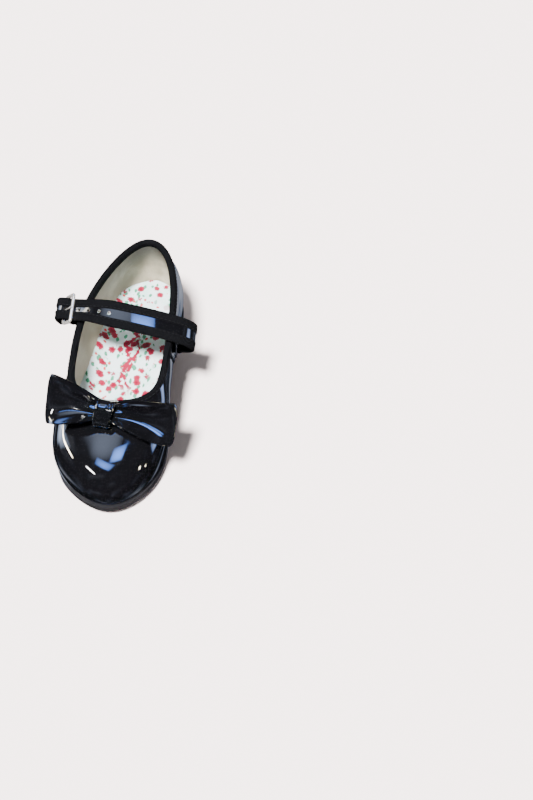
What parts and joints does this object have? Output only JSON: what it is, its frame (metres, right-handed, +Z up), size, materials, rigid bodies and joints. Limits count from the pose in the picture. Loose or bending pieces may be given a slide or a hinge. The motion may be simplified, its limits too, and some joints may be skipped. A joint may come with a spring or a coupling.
{
  "type": "tap shoe",
  "caption": "Child's right Mary Jane tap shoe in black patent, with a bow, a buckled instep strap, a stacked heel and metal taps under heel and toe.",
  "frame": {"origin": "middle of the heel tap's flat lower face, on the ground", "axes": "+X to the toe, +Y to the inner (medial) side, +Z up"},
  "size_m": [0.1751, 0.0902, 0.0711],
  "materials": {
    "patent": "high-gloss black patent",
    "binding": "matt black textile binding",
    "lining": "beige textile lining",
    "sock": "white printed textile with small roses",
    "outsole": "satin black moulded rubber",
    "heel": "matt black moulded heel",
    "tap_board": "matt black rubber board",
    "tap_metal": "cast alloy, worn face and bright rim",
    "screw": "plain steel",
    "steel": "spring steel strip",
    "stiffener": "thermoplastic stiffener sheet",
    "board": "fibre insole board",
    "buckle": "bright nickel plate",
    "thread": "black polyester thread"
  },
  "bodies": {
    "shoe": {"outsole": "outsole", "insole_board": "board", "sock_liner": "sock", "shank": "steel", "toe_tap": "tap_metal", "toe_tap_board": "tap_board", "heel_tap": "tap_metal", "heel_lift": "tap_board", "heel_block": "heel", "toe_tap_screw_front": "screw", "toe_tap_screw_inner": "screw", "toe_tap_screw_outer": "screw", "heel_tap_screw_back": "screw", "heel_tap_screw_inner": "screw", "heel_tap_screw_outer": "screw", "heel_attaching_screw": "screw", "heel_nails": "screw", "vamp": "patent", "medial_quarter": "patent", "lateral_quarter": "patent", "toe_puff": "stiffener", "heel_counter": "stiffener", "vamp_lining": "lining", "quarter_lining": "lining", "topline_binding": "binding", "strap_root_patent": "patent", "strap_root_front_binding": "binding", "strap_root_rear_binding": "binding", "anchor_tab": "binding", "bow_medial_loop": "patent", "bow_lateral_loop": "patent", "bow_knot": "patent", "bow_tack": "thread"},
    "strap": {"strap_patent": "patent", "strap_front_binding": "binding", "strap_rear_binding": "binding"},
    "buckle": {"buckle_frame": "buckle"},
    "prong": {"buckle_prong": "buckle"}
  },
  "joints": [
    {"name": "strap_open", "type": "hinge", "parent": "shoe", "child": "strap", "pos_m": [0.04328, 0.0352, 0.04142], "axis": [-0.8988, 0, 0.4384], "range_deg": [0, 110], "deforming": ["strap_patent", "strap_front_binding", "strap_rear_binding"]},
    {"name": "buckle_lift", "type": "hinge", "parent": "shoe", "child": "buckle", "pos_m": [0.04054, -0.0391, 0.05672], "axis": [0.8988, 0, -0.4384], "range_deg": [0, 80]},
    {"name": "prong_lift", "type": "hinge", "parent": "buckle", "child": "prong", "pos_m": [0.04054, -0.0391, 0.05672], "axis": [0.8988, 0, -0.4384], "range_deg": [0, 60]}
  ]
}
